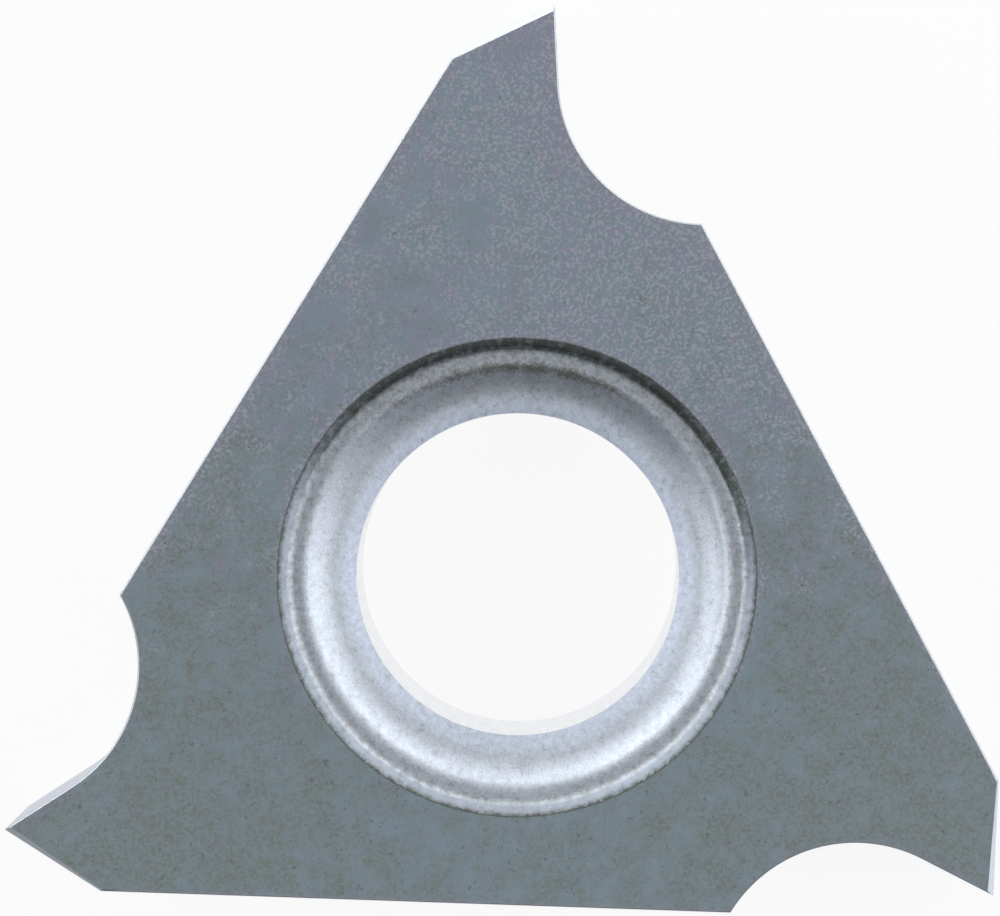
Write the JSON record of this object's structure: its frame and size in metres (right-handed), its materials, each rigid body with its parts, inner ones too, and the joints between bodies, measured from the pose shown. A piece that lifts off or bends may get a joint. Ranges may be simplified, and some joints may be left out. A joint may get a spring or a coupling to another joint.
{
  "type": "carbide insert",
  "caption": "Triangular cutting insert of sintered carbide, with a dished screw hole through its middle and a rounded chip gullet beside each cutting tip.",
  "frame": {"origin": "on the screw hole's axis, in the plane of the flat seating face", "axes": "+Z along the screw hole and out of its countersunk mouth, +Y through the middle of one corner, with the opposite long side facing -Y"},
  "size_m": [0.0144, 0.0131, 0.0032],
  "materials": {
    "carbide": "ground flat faces and edges, with an as-sintered screw hole"
  },
  "bodies": {
    "root": {"insert_body": "carbide"}
  },
  "joints": []
}
